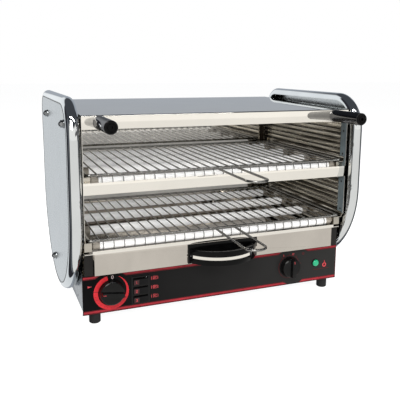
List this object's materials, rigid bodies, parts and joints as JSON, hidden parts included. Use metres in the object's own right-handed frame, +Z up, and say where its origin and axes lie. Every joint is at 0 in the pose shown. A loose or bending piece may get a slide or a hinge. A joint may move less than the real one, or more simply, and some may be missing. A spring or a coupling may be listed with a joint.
{
  "type": "two-deck quartz toaster",
  "caption": "Open-fronted stainless counter toaster with sliding wire racks between curved side cheeks, quartz heating tubes, a crumb tray, a timer, a selector and rocker switches.",
  "frame": {"origin": "middle of the bounding box at the level of the soles of the feet", "axes": "+X to the right as seen from the front, +Y to the back, +Z up"},
  "size_m": [0.6286, 0.5382, 0.4304],
  "materials": {
    "polished_steel": "mirror-polished stainless sheet",
    "cheek_steel": "polished stainless sheet",
    "inner_steel": "bright-annealed stainless sheet",
    "case_steel": "satin stainless sheet",
    "wire": "bright nickel-chromed wire",
    "bolt": "chromed dome nuts and screws",
    "handle_tube": "chromed steel tube",
    "panel_sheet": "black painted sheet",
    "panel_film": "satin printed polyester film",
    "black_plastic": "glossy moulded plastic",
    "knob_plastic": "satin moulded plastic",
    "rubber": "matt black rubber",
    "quartz": "frosted quartz glass",
    "ceramic": "unglazed steatite",
    "coil": "oxidised resistance wire",
    "green_lens": "translucent green lens",
    "switch_plastic": "moulded phenolic"
  },
  "bodies": {
    "frame": {"base_housing": "case_steel", "bottom_cover": "case_steel", "control_panel": "panel_sheet", "panel_overlay": "panel_film", "feet": "rubber", "foot_screws": "bolt", "cheek_left": "cheek_steel", "cheek_right": "cheek_steel", "cheek_rim_left": "cheek_steel", "cheek_rim_right": "cheek_steel", "cheek_bolts": "bolt", "cheek_spacers": "black_plastic", "side_wall_left": "inner_steel", "side_wall_right": "inner_steel", "back_wall": "inner_steel", "back_cover": "case_steel", "top_cover": "polished_steel", "top_reflector": "inner_steel", "middle_strip": "polished_steel", "front_sill": "polished_steel", "rack_runners": "inner_steel", "tray_runners": "inner_steel", "tube_brackets": "inner_steel", "tubes_top": "quartz", "tubes_middle": "quartz", "tubes_lower": "quartz", "coils_top": "coil", "coils_middle": "coil", "coils_lower": "coil", "tube_caps": "ceramic", "guard_middle": "wire", "guard_lower": "wire", "handle_left": "handle_tube", "handle_right": "handle_tube", "handle_plugs": "black_plastic", "timer_body": "switch_plastic", "selector_body": "switch_plastic", "rocker_bezel": "knob_plastic", "switch_body": "switch_plastic", "pilot_bezel": "knob_plastic", "pilot_lens": "green_lens", "pilot_body": "switch_plastic", "terminal_block": "ceramic", "cable_gland": "rubber", "case_screws": "bolt"},
    "upper_rack_body": {"upper_rack": "wire", "upper_rack_handle": "wire"},
    "lower_rack_body": {"lower_rack": "wire", "lower_rack_handle": "wire"},
    "crumb_tray_body": {"crumb_tray": "polished_steel", "tray_handle": "black_plastic", "tray_handle_band": "polished_steel", "tray_handle_screws": "bolt"},
    "timer_dial": {"timer_knob": "knob_plastic", "timer_shaft": "bolt"},
    "selector_dial": {"selector_knob": "knob_plastic", "selector_shaft": "bolt"},
    "rocker_top": {"rocker_1": "black_plastic"},
    "rocker_middle": {"rocker_2": "black_plastic"},
    "rocker_bottom": {"rocker_3": "black_plastic"}
  },
  "joints": [
    {"name": "upper_rack_slide", "type": "slide", "parent": "frame", "child": "upper_rack_body", "axis": [0, -1, 0], "range_m": [0, 0.25]},
    {"name": "lower_rack_slide", "type": "slide", "parent": "frame", "child": "lower_rack_body", "axis": [0, -1, 0], "range_m": [0, 0.25]},
    {"name": "crumb_tray_slide", "type": "slide", "parent": "frame", "child": "crumb_tray_body", "axis": [0, -1, 0], "range_m": [0, 0.25]},
    {"name": "timer_turn", "type": "hinge", "parent": "frame", "child": "timer_dial", "pos_m": [-0.2255, -0.09888, 0.0624], "axis": [0, -1, 0], "range_deg": [0, 278]},
    {"name": "selector_turn", "type": "hinge", "parent": "frame", "child": "selector_dial", "pos_m": [0.161, -0.09888, 0.0624], "axis": [0, -1, 0], "range_deg": [-45, 45]},
    {"name": "rocker_1_press", "type": "hinge", "parent": "frame", "child": "rocker_top", "pos_m": [-0.1685, -0.09488, 0.0759], "axis": [-1, 0, 0], "range_deg": [0, 14]},
    {"name": "rocker_2_press", "type": "hinge", "parent": "frame", "child": "rocker_middle", "pos_m": [-0.1685, -0.09488, 0.0579], "axis": [-1, 0, 0], "range_deg": [0, 14]},
    {"name": "rocker_3_press", "type": "hinge", "parent": "frame", "child": "rocker_bottom", "pos_m": [-0.1685, -0.09488, 0.0399], "axis": [-1, 0, 0], "range_deg": [0, 14]}
  ]
}
